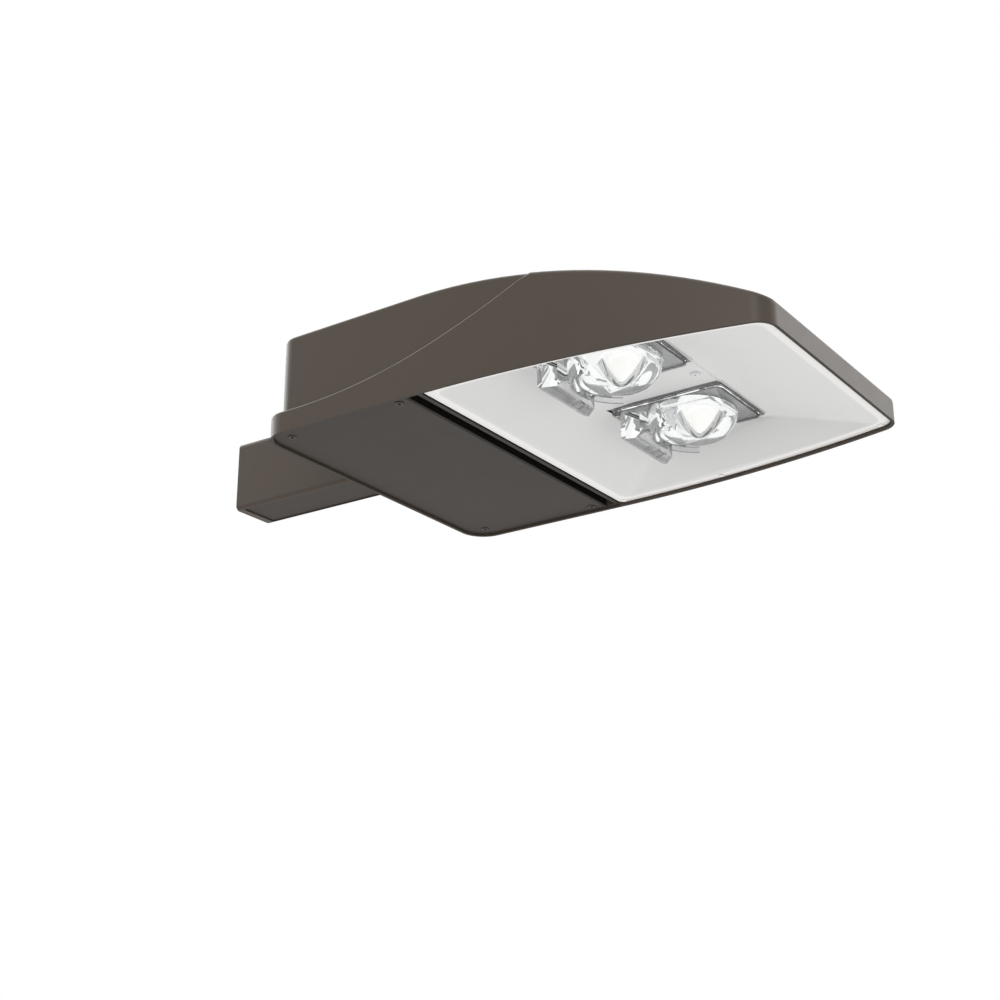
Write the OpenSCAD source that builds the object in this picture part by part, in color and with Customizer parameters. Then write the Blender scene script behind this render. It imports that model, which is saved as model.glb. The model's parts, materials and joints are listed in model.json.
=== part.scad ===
/* [Head] */
// Length of the head from its rear rim to its tip
head_len = 505; // [480:1:540]
// Width of the head across its rear rim
head_w = 354; // [330:1:380]
// Height of the arched roof at its crest
roof_h = 98; // [88:0.5:106]
// How much lower the roof is at its rear edge than at its crest
roof_fall = 2; // [1:0.5:4]
// Run from the rear rim to the crest of the roof
crest_run = 183; // [170:1:200]
// Height of the flat front face at the tip
tip_h = 22; // [18:0.5:26]
// Width of the tip, measured where the side curves would end
tip_w = 266; // [240:1:290]
// Run from the rear rim over which the sides stay straight
side_run = 178; // [160:1:200]
// Amount by which each straight side draws in over that run
side_draw = 1.5; // [0.5:0.1:4]
// Corner radius of the head at its rear, seen from below
rear_corner_r = 27; // [22:1:32]
// Corner radius of the head at its tip, seen from below
tip_corner_r = 20; // [14:1:26]
// Radius along the edges of the roof
roof_edge_r = 4; // [2:0.5:6]
// Radius along the top edge of the front face
tip_edge_r = 2.5; // [1:0.5:4]

/* [Stepped shell] */
// Height of the rim band that runs round the rear of the head
rim_h = 21; // [17:0.5:24]
// Radius along the top edge of the rim band
rim_edge_r = 1.5; // [0.5:0.5:3]
// Run from the rear rim to where the top of the band begins to sweep up
sweep_start = 33; // [25:1:60]
// Run from the rear rim to where the swept edge meets the roof
sweep_end = 298; // [270:1:320]
// Width of the ledge between the rim band and the rear wall
rear_ledge = 18.5; // [14:0.5:24]
// Width of the ledge between the swept edge and the upper sides
side_ledge = 1.2; // [0.6:0.1:3]
// Corner radius of the upper body at its rear
upper_corner_r = 18; // [12:1:24]

/* [Walls of the casting] */
// Thickness of the roof and of the upper walls
wall = 5; // [4:0.5:7]
// Width of the rim's lower edge
rim_wall = 3; // [2:0.5:4]
// Width of the land that a gasket or a flange seats on
land_w = 8; // [7:0.5:10]
// Thickness of the cast land round each lower opening
land_t = 6; // [4:0.5:8]

/* [Driver cover] */
// Thickness of the cover plate
cover_t = 3; // [2:0.5:4]
// Depth of the cover and the reflector below the rim's edge
recess = 2.5; // [1.5:0.5:4]
// Gap between the cover and the rim
cover_gap = 0.9; // [0.5:0.1:1.5]
// Gap between the cover and the air slot
cover_slot_gap = 0.5; // [0.3:0.1:1]
// Length of the cover along the head
cover_len = 165.3; // [150:0.1:175]
// Distance of the rear screws from the cover's rear edge
rear_screw_in = 20.6; // [17:0.1:26]
// Distance of the rear screws from the sides of the cover
rear_screw_side = 16; // [14:0.5:22]
// Distance of the front screws from the cover's front edge
front_screw_in = 14; // [12:0.5:18]
// Distance of the front screws from the sides of the cover
front_screw_side = 9; // [8:0.5:14]
// Height of the stiffening wall on the inside of the cover
cover_lip_h = 5; // [3:0.5:8]
// Thickness of the cover's stiffening wall and ribs
cover_rib_t = 2.4; // [1.6:0.2:3.2]
// Width of the gasket strip
gasket_w = 4; // [3:0.5:5]
// Height of the gasket strip
gasket_t = 2.2; // [1.5:0.1:3]

/* [Air slot and heat sink] */
// Length of the air slot along the head
slot_len = 9.5; // [8:0.5:14]
// Thickness of the upright wall in front of the slot
slot_wall = 5; // [3:0.5:6]
// Distance of the slot's ends from the sides of the head
slot_side = 6.5; // [5:0.5:10]
// Thickness of one cooling fin
fin_t = 3; // [2:0.5:4]
// Spacing of the cooling fins
fin_pitch = 17; // [14:0.5:24]
// How far the fins stay below the roof line
fin_drop = 3; // [1:0.5:8]
// Thickness of the side walls beside the fins
fender_t = 10; // [8:0.5:16]
// Thickness of the heat sink's deck, which carries the fins and the light modules
deck_t = 5; // [4:0.5:7]
// Gap round the heat sink in its opening
sink_gap = 0.4; // [0.2:0.1:0.8]
// Width of the ledge that the heat sink rests on
ledge_w = 4; // [3:0.5:6]
// Thickness of that ledge
ledge_t = 4; // [3:0.5:6]
// Distance of the heat sink's screws from the side walls
sink_screw_side = 5.5; // [5:0.5:7]
// Distance of its end screws from its rear and front edges
sink_screw_end = 14; // [10:1:20]
// Number of ribs on each side that bridge the slot
slot_ribs = 2; // [1:1:3]

/* [Reflector pan] */
// Height of the pan's ceiling above its flange
pan_depth = 35; // [30:0.5:40]
// Gap between the wall in front of the air slot and the pan's flange
pan_gap = 1.6; // [0.6:0.1:2.4]
// Gap between the pan's flange and the rim
pan_edge_gap = 0.8; // [0.5:0.1:1.5]
// How much deeper the pan's flange lies than the driver cover
pan_inset = 0.5; // [0:0.1:1]
// Thickness of the pan
pan_t = 1.5; // [1:0.1:2.5]
// Width of the pan's flat flange
pan_flange = 9; // [8:0.5:12]
// Distance from the base plates back to the fold of the pan's rear wall
pan_fold_rear = 2.2; // [1:0.1:6]
// Distance from the base plates forward to the fold of its front wall
pan_fold_front = 10.2; // [4:0.1:14]
// Distance from the base plates to the folds of its side walls
pan_fold_side = 6.5; // [3:0.5:12]
// Distance of the pan's rear screw behind the light sources
pan_screw_back = 60; // [50:1:66]
// Distance of the pan's front screw in front of the light sources
pan_screw_front = 36; // [24:1:44]

/* [Light modules] */
// Distance of the light modules from the centre line
module_y = 72; // [70:1:80]
// Distance of each light source from the rear rim
module_run = 331; // [325:1:335]
// Width of the base plate under each lens
plate_w = 93; // [88:1:98]
// Length of the base plate under each lens
plate_len = 122; // [112:1:124]
// Reach of the base plate in front of the light source
plate_front = 48; // [45:1:50]
// Thickness of the base plate
plate_t = 3; // [2:0.5:4]
// How far the base plates stand out of the pan's ceiling
plate_proud = 0.8; // [0:0.1:1.5]
// Side of the square light board
board_w = 40; // [30:1:44]
// Thickness of the light board
board_t = 1.6; // [1:0.1:2.4]
// Diameter of the light-emitting disc
emitter_d = 23; // [16:1:28]

/* [Lenses] */
// Distance of the lens bowl from the long edges of its flange
bowl_margin = 0.5; // [0.5:0.5:4]
// Reach of the bowl in front of the light source
bowl_front = 36; // [32:0.5:38]
// Reach of the bowl behind the light source
bowl_back = 41; // [38:0.5:42]
// Depth of the bowl below the lens flange
bowl_depth = 28.5; // [24:0.5:30]
// Fullness of the bowl: 2 is an ellipsoid, more is boxier
bowl_power = 2.1; // [1.9:0.05:2.6]
// Thickness of the lens flange
lens_flange_t = 2.5; // [2:0.5:4]
// Margin between the edge of the base plate and the lens flange
lens_margin = 2; // [1.5:0.5:5]
// Distance of the lens screws from the rear edge of the base plate
lens_screw_in = 7.5; // [7:0.5:8]
// Distance of the lens screws from the sides of the base plate
lens_screw_side = 10.5; // [10:0.5:12]
// Thickness of the seal between the lens and its base plate
seal_t = 1; // [0.5:0.1:1.5]
// Radius of the hollow over the light source
hollow_r = 17; // [14:0.5:19]
// Depth of that hollow
hollow_depth = 24; // [16:0.5:26]
// Distance of the prism wall's rear face behind the light source
prism_back = 62.5; // [60:0.5:64]
// Width of the prism wall
prism_w = 78; // [70:1:84]
// Thickness of the prism wall at its middle
prism_t = 16; // [12:0.5:18]
// Thickness of the prism wall at its ends
prism_end_t = 5; // [4:0.5:7]
// How much shorter its front face is at each end
prism_chamfer = 8; // [4:0.5:12]
// Number of prism rings between the wall and the bowl
prism_steps = 3; // [2:1:4]
// Half of the angle over which the prism rings reach round the light source
prism_angle = 62; // [40:1:66]

/* [Arm] */
// Reach of the arm from the pole to the head's rear rim
arm_len = 167; // [150:1:200]
// Width of the arm
arm_w = 54; // [50:1:60]
// Height of the arm
arm_h = 75; // [70:1:78]
// Height of the arm's lower edge above the underside of the head
arm_lift = 8; // [6:0.5:10]
// Wall thickness of the arm
arm_wall = 4; // [3:0.5:5]
// Radius along the long edges of the arm
arm_edge_r = 5; // [2:0.5:5.5]
// Thickness of the arm's plate at the pole
pole_plate_t = 8; // [6:0.5:12]
// Spacing of the two pole bolts, one above the other
pole_bolt_spacing = 50.8; // [46:0.1:52]
// Diameter of the holes for the pole bolts
pole_bolt_hole_d = 11; // [9:0.5:13]
// Diameter of the wire hole
wire_hole_d = 19; // [16:0.5:21]
// Thickness of the arm's plate at the head
head_plate_t = 8; // [6:0.5:10]
// Thickness of the gasket between arm and head
arm_gasket_t = 1.5; // [1:0.1:2]
// Thickness of the arm's lower cover strip
strip_t = 2; // [1.5:0.1:3]
// Depth of the cover strip below the arm's edges
strip_recess = 1.5; // [1:0.5:3]

/* [Fasteners] */
// Diameter of the captive screws of the driver cover
cover_screw_d = 5; // [4:0.5:6]
// Diameter of the head of a cover screw
cover_screw_head_d = 8; // [7:0.5:9]
// Diameter of the bolts between arm and head
arm_bolt_d = 8; // [6:1:8]
// Sideways spacing of the bolts between arm and head
arm_bolt_y = 30; // [28:1:32]
// Height spacing of the bolts between arm and head
arm_bolt_z = 44; // [36:1:46]
// Diameter of the small screws inside
small_screw_d = 4; // [3:0.5:5]
// Length of the small screws inside, below their heads
small_screw_len = 9; // [7:0.5:12]
// Height of the heads of the small screws inside
small_head_h = 2.6; // [2:0.1:3]
// Height of the low heads of the lens screws and the pan's screws
low_head_h = 2.2; // [1.6:0.1:2.6]
// Width of the hexagon socket in every screw head
socket_d = 2.4; // [2:0.1:3]
// Depth of that socket
socket_depth = 1.6; // [1:0.1:1.8]
// Diameter of the heads of the small screws inside
small_head_d = 7.4; // [6.6:0.1:8]
// Diameter of the heads of the lens screws
lens_head_d = 6.6; // [6:0.1:7]
// Diameter of the heads of the pan's screws
pan_head_d = 9; // [8:0.5:10]
// Radial clearance round every screw shank
screw_gap = 0.4; // [0.2:0.1:0.8]

/* [Driver bay] */
// Distance of the surge protector and the terminal block from the sides of the head
bay_side_gap = 57; // [50:1:64]
// Length of the LED driver across the head
driver_len = 210; // [180:1:230]
// Width of the LED driver along the head
driver_w = 62; // [50:1:66]
// Height of the LED driver
driver_h = 38; // [30:1:40]
// Width of the surge protector across the head
surge_len = 62; // [50:1:70]
// Length of the surge protector along the head
surge_w = 38; // [30:1:42]
// Height of the surge protector
surge_h = 30; // [24:1:34]
// Width of the terminal block across the head
terminal_len = 54; // [44:1:60]
// Length of the terminal block along the head
terminal_w = 24; // [20:1:28]
// Height of the terminal block
terminal_h = 22; // [18:1:26]
// Length of the solid stretch at each end of the terminal block
terminal_end = 11; // [9:1:13]
// Width of the surge protector's foot
foot_w = 16; // [12:1:20]
// Reach of that foot at each end
foot_reach = 12; // [10:1:14]
// Depth of the leads below the mounting surface of the driver
lead_drop = 14; // [10:1:18]
// Diameter of one lead
lead_d = 3; // [2.4:0.2:4]
// Diameter of the passage for the leads across the air slot
tunnel_d = 12; // [10:0.5:14]

/* [Hidden] */
$fn = 48;
eps = 0.01;
pad = 1;
bronze = "#544B45";
bronze_dark = "#4B4742";

// Places along the head, measured from the pole face
x_rear = arm_len;
x_tip = x_rear + head_len;
x_side = x_rear + side_run;
x_crest = x_rear + crest_run;
x_upper = x_rear + rear_ledge;
x_sweep0 = x_rear + sweep_start;
x_sweep1 = x_rear + sweep_end;
x_cover0 = x_rear + rim_wall + cover_gap;
x_cover1 = x_cover0 + cover_len;
x_slot0 = x_cover1 + cover_slot_gap;
x_slot1 = x_slot0 + slot_len;
x_bay = x_slot1 + slot_wall;
x_module = x_rear + module_run;
plate_x1 = x_module + plate_front;
plate_x0 = plate_x1 - plate_len;
// Heights, measured from the underside of the head
head_z = -arm_lift - arm_h / 2;
z_cover = recess;
z_land = recess + cover_t;
z_pan = recess + pan_inset;
z_seat = z_pan + pan_t;
z_ceiling = z_pan + pan_depth;
z_plate = z_ceiling - plate_proud;
z_deck = z_plate + plate_t;
z_fins = z_deck + deck_t;
z_lens = z_plate - seal_t;

// Radii of the three arcs that shape the casting
function arc_radius(run, rise) = (run * run + rise * rise) / (2 * rise);
function arc_drop(radius, run) = radius - sqrt(radius * radius - run * run);
side_r = arc_radius(head_len - side_run, head_w / 2 - side_draw - tip_w / 2);
roof_r = arc_radius(head_len - crest_run, roof_h - tip_h);

// Half width of the head: straight sides with a little draw, then an arc to the tip
function half_w(x) = x <= x_side
    ? head_w / 2 - side_draw * (x - x_rear) / side_run
    : head_w / 2 - side_draw - arc_drop(side_r, x - x_side);
// Roof line: a slight rise to the crest, then an arc down to the tip
function roof(x) = x <= x_crest
    ? roof_h - roof_fall * (x_crest - x) / (crest_run - rear_ledge)
    : roof_h - arc_drop(roof_r, x - x_crest);
sweep_r = arc_radius(sweep_end - sweep_start, roof(x_sweep1) - rim_h);
// Swept edge: level along the rim band, then an arc that climbs to the roof
function sweep_z(x) = x <= x_sweep0 ? rim_h : rim_h + arc_drop(sweep_r, x - x_sweep0);
// Share of an edge radius r that is left at the distance d from the edge
function edge_drop(r, d) = d >= r ? 0 : r - sqrt(r * r - (r - d) * (r - d));
function lower_top(x) = min(sweep_z(x), roof(x)) - edge_drop(tip_edge_r, x_tip - x)
    - (x < x_rear + rim_edge_r ? edge_drop(rim_edge_r, x - x_rear) : 0);
function upper_top(x) = roof(x) - 0.3 - edge_drop(roof_edge_r, x - x_upper);

// Angle of the side arc where a tip corner of radius r starts, for an outline that ends at x1
function side_angle(x1, r) = x1 - r <= x_side ? 0 : asin((x1 - r - x_side) / (side_r - r));
// One side of a plan outline from x0 to x1, inset by d, with corner radii r0 and r1
function side_pts(x0, x1, r0, r1, d, steps = 14, arc = 6) =
    let (a1 = side_angle(x1, r1),
         xa = x0 + r0,
         xb = x1 - r1 + r1 * sin(a1),
         ya = half_w(xa) - d - r0,
         yb = half_w(xb) - d - r1 * cos(a1))
    concat(
        [for (i = [0 : arc]) let (a = 180 - 90 * i / arc) [xa + r0 * cos(a), ya + r0 * sin(a)]],
        [for (i = [1 : steps - 1]) let (x = xa + (xb - xa) * i / steps) [x, half_w(x) - d]],
        [for (i = [0 : arc]) let (a = (90 - a1) * (1 - i / arc))
            [x1 - r1 + r1 * cos(a), yb + r1 * sin(a)]]
    );
// One side of a plain rounded rectangle, with the same count of points as side_pts
function box_pts(x0, x1, half, r, steps = 14, arc = 6) = concat(
    [for (i = [0 : arc]) let (a = 180 - 90 * i / arc) [x0 + r + r * cos(a), half - r + r * sin(a)]],
    [for (i = [1 : steps - 1]) [x0 + r + (x1 - x0 - 2 * r) * i / steps, half]],
    [for (i = [0 : arc]) let (a = 90 - 90 * i / arc) [x1 - r + r * cos(a), half - r + r * sin(a)]]
);
// Closed outline from one side and its mirror image
function both_sides(side) = concat(
    side,
    [for (i = [len(side) - 1 : -1 : 0]) [side[i].x, -side[i].y]]
);

// Solid of a plan outline between two heights
module plan(x0, x1, r0, r1, d, z0, z1, steps = 14) {
    translate([0, 0, z0])
        linear_extrude(z1 - z0)
            polygon(both_sides(side_pts(x0, x1, r0, r1, d, steps)));
}

// Everything below the roof line, lowered by t, between x0 and x1
module under_roof(x0, x1, t, z0, steps = 18) {
    translate([0, head_w, 0])
        rotate([90, 0, 0])
            linear_extrude(2 * head_w)
                polygon(concat(
                    [[x0, z0]],
                    [for (i = [0 : steps]) let (x = x0 + (x1 - x0) * i / steps) [x, roof(x) - t]],
                    [[x1, z0]]
                ));
}

// Cross-section of the shell at one place of its outline: flat below, rounded above
function shell_section(p, top, r, arc) = concat(
    [[p.x, p.y, 0]],
    [for (i = [0 : arc]) let (a = 90 * i / arc)
        [p.x, p.y - r + r * cos(a), top - r + r * sin(a)]],
    [for (i = [0 : arc]) let (a = 90 + 90 * i / arc)
        [p.x, -p.y + r + r * cos(a), top - r + r * sin(a)]],
    [[p.x, -p.y, 0]]
);

// Closed loft through a list of sections that all have the same count of points
module loft(sections) {
    n = len(sections);
    m = len(sections[0]);
    polyhedron(
        points = [for (s = sections) each s],
        faces = concat(
            [[for (j = [0 : m - 1]) j]],
            [for (i = [0 : n - 2], j = [0 : m - 1]) let (k = (j + 1) % m)
                [i * m + j, (i + 1) * m + j, i * m + k]],
            [for (i = [0 : n - 2], j = [0 : m - 1]) let (k = (j + 1) % m)
                [i * m + k, (i + 1) * m + j, (i + 1) * m + k]],
            [[for (j = [m - 1 : -1 : 0]) (n - 1) * m + j]]
        )
    );
}

// Lower shell: the rim band that sweeps up along the sides and becomes the roof
module lower_shell() {
    loft([for (p = side_pts(x_rear, x_tip, rear_corner_r, tip_corner_r, 0, 34, 10))
        shell_section(p, lower_top(p.x), p.x < x_sweep1 ? rim_edge_r : roof_edge_r, 4)]);
}

// Upper body: the deep rear part over the driver bay, behind the swept edge
module upper_body() {
    loft([for (p = side_pts(x_upper, x_sweep1 + 8, upper_corner_r, 2, side_ledge, 16, 8))
        shell_section(p, upper_top(p.x), roof_edge_r, 5)]);
}

// Places of the four cover screws, rear left first
cover_screws = [
    for (end = [0, 1], s = [1, -1])
        let (x = end == 0 ? x_cover0 + rear_screw_in : x_cover1 - front_screw_in,
             side = end == 0 ? rear_screw_side : front_screw_side)
        [x, s * (half_w(x) - rim_wall - cover_gap - side)]
];
screw_boss_d = cover_screw_d + 8;
screw_boss_h = 18;
screw_shank = 12;
screw_head_h = 2.4;

module screw_bosses() {
    for (p = cover_screws)
        translate([p.x, p.y, z_land])
            cylinder(d = screw_boss_d, h = screw_boss_h);
}

// Hollows of the driver bay: the opening, the space inside the rim band and the main room
bay_open_x0 = x_rear + rim_wall + land_w;
bay_open_x1 = x_slot0 - land_w - 1;
bay_x0 = x_upper + wall;
bay_x1 = x_slot0 - wall;
bay_r = 8;
module driver_bay() {
    plan(bay_open_x0, bay_open_x1, rear_corner_r - rim_wall - land_w, bay_r, rim_wall + land_w,
         z_land, z_land + land_t + eps, 8);
    plan(x_rear + wall, bay_x1, rear_corner_r - wall, bay_r, wall + 1,
         z_land + land_t, rim_h - wall + 1, 8);
    intersection() {
        plan(bay_x0, bay_x1, upper_corner_r - wall, bay_r, wall + side_ledge,
             z_land + land_t, roof_h, 8);
        under_roof(x_upper, x_slot0, wall, 0, 6);
    }
}

// Field above the light bay that is open to the sky and takes the heat sink
field_r = 12;
screw_room_d = 12;
field_x1 = x_crest + sqrt(roof_r * roof_r - pow(roof_r - (roof_h - z_fins), 2)) - 6;
module sink_field() {
    plan(x_slot0, field_x1, 3, field_r, fender_t, z_deck, roof_h + pad, 12);
    plan(x_slot0, x_slot1, 2, 2, slot_side, -pad, z_deck + eps, 2);
}

// Hollow of the light bay: the opening over the pan's flange, the room above it and its open top
pan_x0 = x_bay + pan_gap;
pan_side = rim_wall + pan_edge_gap;
pan_x1 = x_tip - pan_side;
light_x0 = pan_x0 + land_w - 1;
light_x1 = pan_x1 - land_w + 1;
module light_bay() {
    plan(light_x0, light_x1, 12, tip_corner_r - 10, pan_side + land_w - 1,
         z_seat, z_seat + 4 + eps, 12);
    intersection() {
        plan(x_bay + 1, pan_x1 + rim_wall - wall, bay_r, tip_corner_r - wall, wall + 1,
             z_seat + 4, z_deck - ledge_t, 12);
        under_roof(x_bay - 1, x_tip, wall, 0, 12);
    }
    plan(x_bay + ledge_w, field_x1 - ledge_w, 3, field_r, fender_t + ledge_w,
         z_deck - ledge_t - eps, z_deck + eps, 12);
}

// Places of the heat sink's screws along both side walls
sink_screws = [
    for (x = [x_slot1 + sink_screw_end, (x_slot1 + field_x1) / 2, field_x1 - sink_screw_end],
         s = [1, -1])
        [x, s * (half_w(x) - fender_t - sink_screw_side)]
];

// Fins: flat plates on the deck that follow the roof line and make room for the screws
fin_half_count = floor((half_w(x_slot1) - fender_t - fin_t) / fin_pitch);
module fins() {
    difference() {
        intersection() {
            for (i = [-fin_half_count : fin_half_count])
                translate([x_slot1 + 2, i * fin_pitch - fin_t / 2, z_deck + 1])
                    cube([field_x1 - x_slot1, fin_t, roof_h]);
            plan(x_slot1, field_x1 - sink_gap, 1, field_r, fender_t + 2 * sink_gap,
                 z_deck, roof_h, 12);
            under_roof(x_slot0, field_x1 + 20, fin_drop, 0, 14);
        }
        for (p = sink_screws)
            translate([p.x, p.y, z_fins])
                cylinder(d = screw_room_d, h = roof_h);
    }
}

// Heat sink: a finned casting that rests on the ledge and carries the light modules
module heat_sink() {
    color(bronze)
        in_head()
            difference() {
                union() {
                    plan(x_slot1, field_x1 - sink_gap, 3, field_r, fender_t + sink_gap,
                         z_deck, z_fins, 12);
                    fins();
                    for (x = pan_screw_x)
                        small_boss([x, 0], z_ceiling + pan_t, z_deck + 1, 14);
                }
                for (x = pan_screw_x)
                    small_bore([x, 0], z_ceiling + pan_t, z_fins - 1.5 - z_ceiling - pan_t);
                for (p = sink_screws)
                    small_bore(p, z_deck, deck_t + 1);
                for (s = [-1, 1]) {
                    for (p = lens_holes(s * module_y))
                        small_bore(p, z_deck, deck_t - 1);
                    translate([groove_x0, lead_in_y(s) - groove_w / 2, z_deck - pad])
                        cube([groove_x1 - groove_x0, groove_w, groove_h + pad]);
                }
            }
}

module heat_sink_screws() {
    color("silver")
        in_head()
            for (p = sink_screws)
                translate([0, 0, 2 * z_fins])
                    mirror([0, 0, 1])
                        up_screw(p, z_fins, deck_t + small_screw_len - 2);
}

// Ribs that bridge the slot, high enough to stay out of sight from below
rib_z = 32;
module slot_bridges() {
    for (i = [-slot_ribs : slot_ribs]) {
        y = i * fin_pitch * floor(fin_half_count / slot_ribs);
        translate([x_slot0 - 1, y - fin_t / 2, rib_z])
            cube([slot_len + 2, fin_t, z_deck - rib_z]);
    }
}

// Pads and bosses that carry the light modules, the pan and the parts in the bay
driver_front_gap = 4;
boss_drop = 5;
boss_bore = 9;
driver_x = bay_x1 - driver_front_gap - driver_w;
driver_top = roof(bay_x0) - wall - boss_drop;
driver_tab = 12;
driver_tab_t = 2;
foot_t = 2.5;
driver_holes = [for (s = [1, -1], x = [10, driver_w - 10])
    [driver_x + x, s * (driver_len / 2 + driver_tab / 2)]];
surge_rear_gap = 12;
surge_x = bay_x0 + surge_rear_gap;
surge_y = head_w / 2 - bay_side_gap - surge_len;
surge_holes = [for (s = [-1, 1])
    [surge_x + surge_w / 2, surge_y + surge_len / 2 + s * (surge_len + foot_reach) / 2]];
terminal_rear_gap = 16;
terminal_web = 4;
terminal_x = bay_x0 + terminal_rear_gap;
terminal_y = bay_side_gap - head_w / 2;
terminal_pitch = (terminal_len - 2 * terminal_end) / 3;
terminal_holes = [for (s = [-1, 1])
    [terminal_x + terminal_w / 2, terminal_y + terminal_len / 2 + s * (terminal_len / 2 - 5)]];
pan_screw_x = [x_module - pan_screw_back, x_module + pan_screw_front];
tunnel_y = 98;
tunnel_z = 24;
// Groove in the underside of the heat sink, in which the leads run over each base plate
groove_w = lead_d + 2;
groove_h = lead_d + 0.4;
groove_x0 = plate_x0 - 32;
groove_x1 = plate_x0 + 10;
lead_in_side = 12;
function lead_in_y(s) = s * module_y + lead_in_side;

module small_boss(p, z0, z1, d = 10) {
    translate([p.x, p.y, z0])
        cylinder(d = d, h = z1 - z0);
}
module small_bore(p, z0, depth) {
    translate([p.x, p.y, z0 - eps])
        cylinder(d = small_screw_d + 2 * screw_gap, h = depth);
}

module housing_bosses() {
    screw_bosses();
    for (p = concat(driver_holes, surge_holes, terminal_holes))
        small_boss(p, driver_top, roof(p.x) - wall + 1);
    for (p = sink_screws)
        small_boss(p, z_deck - 10, z_deck, 11);
    translate([x_upper + wall - 1, -arm_w / 2 - 3, head_bolt_mid - arm_bolt_z / 2 - 10])
        cube([4, arm_w + 6, arm_bolt_z + 20]);
}

// Passage for the leads from the driver bay to the light bay
module tunnel(d, x0, x1) {
    translate([x0, tunnel_y, tunnel_z])
        rotate([0, 90, 0])
            cylinder(d = d, h = x1 - x0);
}

module arm_bolt_places() {
    for (sy = [-1, 1], sz = [-1, 1])
        translate([0, sy * arm_bolt_y / 2, head_bolt_mid + sz * arm_bolt_z / 2])
            rotate([0, 90, 0])
                children();
}

// Die-cast housing with its driver bay, air slot and light bay
module housing() {
    color(bronze)
        in_head()
            difference() {
                union() {
                    difference() {
                        union() {
                            lower_shell();
                            upper_body();
                        }
                        driver_bay();
                        light_bay();
                        sink_field();
                        plan(x_rear + rim_wall, x_slot0 + 1, rear_corner_r - rim_wall, 0.5,
                             rim_wall, -pad, z_land, 8);
                        plan(x_slot0, x_bay + 1, 0.5, 0.5, rim_wall, -pad, z_cover, 2);
                        plan(x_bay, x_tip - rim_wall, 6, tip_corner_r - rim_wall, rim_wall,
                             -pad, z_seat, 14);
                    }
                    slot_bridges();
                    housing_bosses();
                    tunnel(tunnel_d + 6, bay_x1, x_bay + 2);
                }
                tunnel(tunnel_d, bay_x1 - pad, x_bay + 3);
                gasket_ring(z_land - eps);
                for (p = cover_screws)
                    translate([p.x, p.y, z_land - eps])
                        cylinder(d = cover_screw_d + 2 * screw_gap, h = screw_boss_h - 3);
                for (p = concat(driver_holes, surge_holes, terminal_holes))
                    small_bore(p, driver_top, boss_bore);
                for (p = sink_screws)
                    small_bore(p, z_deck - boss_bore, boss_bore + pad);
                arm_bolt_places()
                    translate([0, 0, x_upper - pad])
                        cylinder(d = arm_bolt_d + 2 * screw_gap, h = wall + 6);
                translate([x_upper - pad, 0, head_bolt_mid])
                    rotate([0, 90, 0])
                        cylinder(d = wire_hole_d, h = wall + 6);
            }
}

// The head's own heights start at its underside, the arm's at its centre line
module in_head() {
    translate([0, 0, head_z])
        children();
}

// Ring of gasket that lies in the land round the driver bay
module cover_gasket() {
    color("#1E1E1E")
        in_head()
            gasket_ring(z_land);
}
module gasket_outline(d, z0, z1) {
    plan(x_rear + d, x_slot0 - d + rim_wall, rear_corner_r - d, 8, d, z0, z1, 8);
}
module gasket_ring(z0) {
    difference() {
        gasket_outline(rim_wall + 2, z0, z_land + gasket_t);
        gasket_outline(rim_wall + 2 + gasket_w, z0 - pad, z_land + gasket_t + pad);
    }
}

// Cover of the driver bay: a flat plate with a stiffening wall and ribs inside
cover_rib_y = [-90, -30, 30, 90];
module driver_cover() {
    lip_d = rim_wall + land_w + 1;
    lip_x0 = bay_open_x0 + 1;
    lip_x1 = bay_open_x1 - 1;
    color(bronze_dark)
        in_head()
            difference() {
                union() {
                    plan(x_cover0, x_cover1, rear_corner_r - rim_wall - cover_gap, 3,
                         rim_wall + cover_gap, z_cover, z_land, 8);
                    difference() {
                        plan(lip_x0, lip_x1, 15, 7, lip_d, z_land - eps, z_land + cover_lip_h, 8);
                        plan(lip_x0 + cover_rib_t, lip_x1 - cover_rib_t, 13, 5,
                             lip_d + cover_rib_t, z_land, z_land + cover_lip_h + pad, 8);
                        for (p = cover_screws)
                            translate([p.x, p.y, z_land])
                                cylinder(d = screw_boss_d + 2, h = cover_lip_h + pad);
                    }
                    for (y = cover_rib_y)
                        translate([lip_x0 + 1, y - cover_rib_t / 2, z_land - eps])
                            cube([lip_x1 - lip_x0 - 2, cover_rib_t, cover_lip_h - 1]);
                }
                for (p = cover_screws)
                    translate([p.x, p.y, 0]) {
                        cylinder(d = cover_screw_d + 2 * screw_gap, h = z_land + pad);
                        cylinder(d = cover_screw_head_d + 2 * screw_gap, h = z_cover + screw_head_h - 1);
                    }
            }
}

// Captive screw of the driver cover, with a socket in its low round head
module cover_screw(p) {
    color("#3B3833")
        in_head()
            translate([p.x, p.y, z_cover - 1])
                difference() {
                    union() {
                        cylinder(d = cover_screw_head_d, h = screw_head_h);
                        cylinder(d = cover_screw_d, h = screw_head_h + cover_t + screw_shank);
                    }
                    translate([0, 0, -eps])
                        cylinder(d = 3.4, h = 1.8, $fn = 6);
                }
}

// LED driver: a sealed metal case with a screw tab at each end
module led_driver() {
    z0 = driver_top - driver_h;
    color("#2E2F31")
        in_head()
            difference() {
                union() {
                    translate([driver_x, -driver_len / 2, z0])
                        cube([driver_w, driver_len, driver_h]);
                    translate([driver_x, -driver_len / 2 - driver_tab, driver_top - driver_tab_t])
                        cube([driver_w, driver_len + 2 * driver_tab, driver_tab_t]);
                }
                for (p = driver_holes)
                    small_bore(p, driver_top - 3, 4);
                for (i = [-5 : 5])
                    translate([driver_x + driver_w / 2, i * 18, z0])
                        cube([driver_w - 12, 6, 2], center = true);
            }
}

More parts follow.
